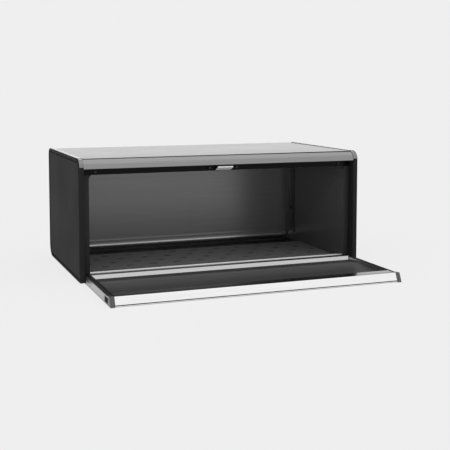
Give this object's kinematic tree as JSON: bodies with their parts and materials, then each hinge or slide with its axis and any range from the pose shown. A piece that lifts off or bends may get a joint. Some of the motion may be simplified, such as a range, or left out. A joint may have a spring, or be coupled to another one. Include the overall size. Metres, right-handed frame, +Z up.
{
  "type": "bread bin",
  "caption": "Steel bread bin with black moulded sides, shown with its drop-front door folded down on the worktop and its magnetic catch under the header.",
  "frame": {"origin": "centre of the footprint of the bin with its door open, on the worktop under the feet", "axes": "+X along the width to the viewer's right, +Y from the door towards the back wall, +Z up"},
  "size_m": [0.465, 0.404, 0.1875],
  "materials": {
    "satin_steel": "fine satin finish with short brush lines",
    "fastener_steel": "plain zinc-plated steel",
    "dark_steel": "dark lacquered sheet",
    "bright_trim": "bright satin strip",
    "magnet_plate": "bright nickel-plated magnet face",
    "gloss_black_plastic": "smooth black moulding with a soft shine",
    "matte_black_plastic": "fine-grained matte black moulding",
    "grey_plastic": "grey moulding",
    "black_trim": "black flexible edge strip",
    "black_rubber": "black rubber"
  },
  "bodies": {
    "casing": {"base_pan": "satin_steel", "casing_shell": "satin_steel", "catch_screw_left": "fastener_steel", "catch_screw_right": "fastener_steel", "floor_tray": "matte_black_plastic", "foot_front_left": "black_rubber", "foot_front_right": "black_rubber", "foot_rear_left": "black_rubber", "foot_rear_right": "black_rubber", "front_sill": "satin_steel", "header_rail": "gloss_black_plastic", "hinge_pin_left": "fastener_steel", "hinge_pin_right": "fastener_steel", "magnet": "magnet_plate", "magnet_housing": "gloss_black_plastic", "rail_screw_left": "fastener_steel", "rail_screw_right": "fastener_steel", "rear_corner_strip_left": "dark_steel", "rear_corner_strip_right": "dark_steel", "rim_trim_left": "satin_steel", "rim_trim_right": "satin_steel", "side_liner_left": "gloss_black_plastic", "side_liner_right": "gloss_black_plastic", "side_panel_left": "matte_black_plastic", "side_panel_right": "matte_black_plastic", "strip_rivet_left": "fastener_steel", "strip_rivet_right": "fastener_steel"},
    "door": {"door_bumper_left": "black_rubber", "door_bumper_right": "black_rubber", "door_front_rail": "satin_steel", "door_hinge_rail": "satin_steel", "door_inner_panel": "matte_black_plastic", "door_seal_left": "black_trim", "door_seal_right": "black_trim", "door_side_rail_left": "satin_steel", "door_side_rail_right": "satin_steel", "door_skin": "satin_steel", "grip_end_cap_left": "grey_plastic", "grip_end_cap_right": "grey_plastic", "grip_strip": "bright_trim", "hinge_block_left": "matte_black_plastic", "hinge_block_right": "matte_black_plastic", "hinge_bush_left": "grey_plastic", "hinge_bush_right": "grey_plastic"}
  },
  "joints": [
    {"name": "door_hinge", "type": "hinge", "parent": "casing", "child": "door", "pos_m": [0, -0.041, 0.007], "axis": [-1, 0, 0], "range_deg": [0, 90]}
  ]
}
